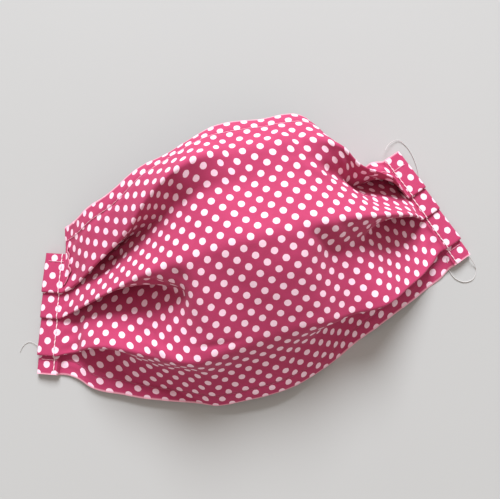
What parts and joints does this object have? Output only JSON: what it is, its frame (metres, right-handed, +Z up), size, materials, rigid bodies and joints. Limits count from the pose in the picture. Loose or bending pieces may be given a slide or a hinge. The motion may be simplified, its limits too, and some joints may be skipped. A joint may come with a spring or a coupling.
{
  "type": "cloth face mask",
  "caption": "Pleated cotton face mask with a dotted front, pleats that face down and flat side casings, lying face up and opened into a dome.",
  "frame": {"origin": "on the surface that the mask lies on, under the middle of its bounding box", "axes": "+X from the left casing to the right one, +Y from the lower edge to the top edge, +Z up through the front of the dome"},
  "size_m": [0.204, 0.1202, 0.0469],
  "materials": {
    "panel_cotton": "matte",
    "casing_cotton": "matte"
  },
  "bodies": {
    "root": {"pleated_panel": "panel_cotton", "left_casing": "casing_cotton", "right_casing": "casing_cotton"}
  },
  "joints": []
}
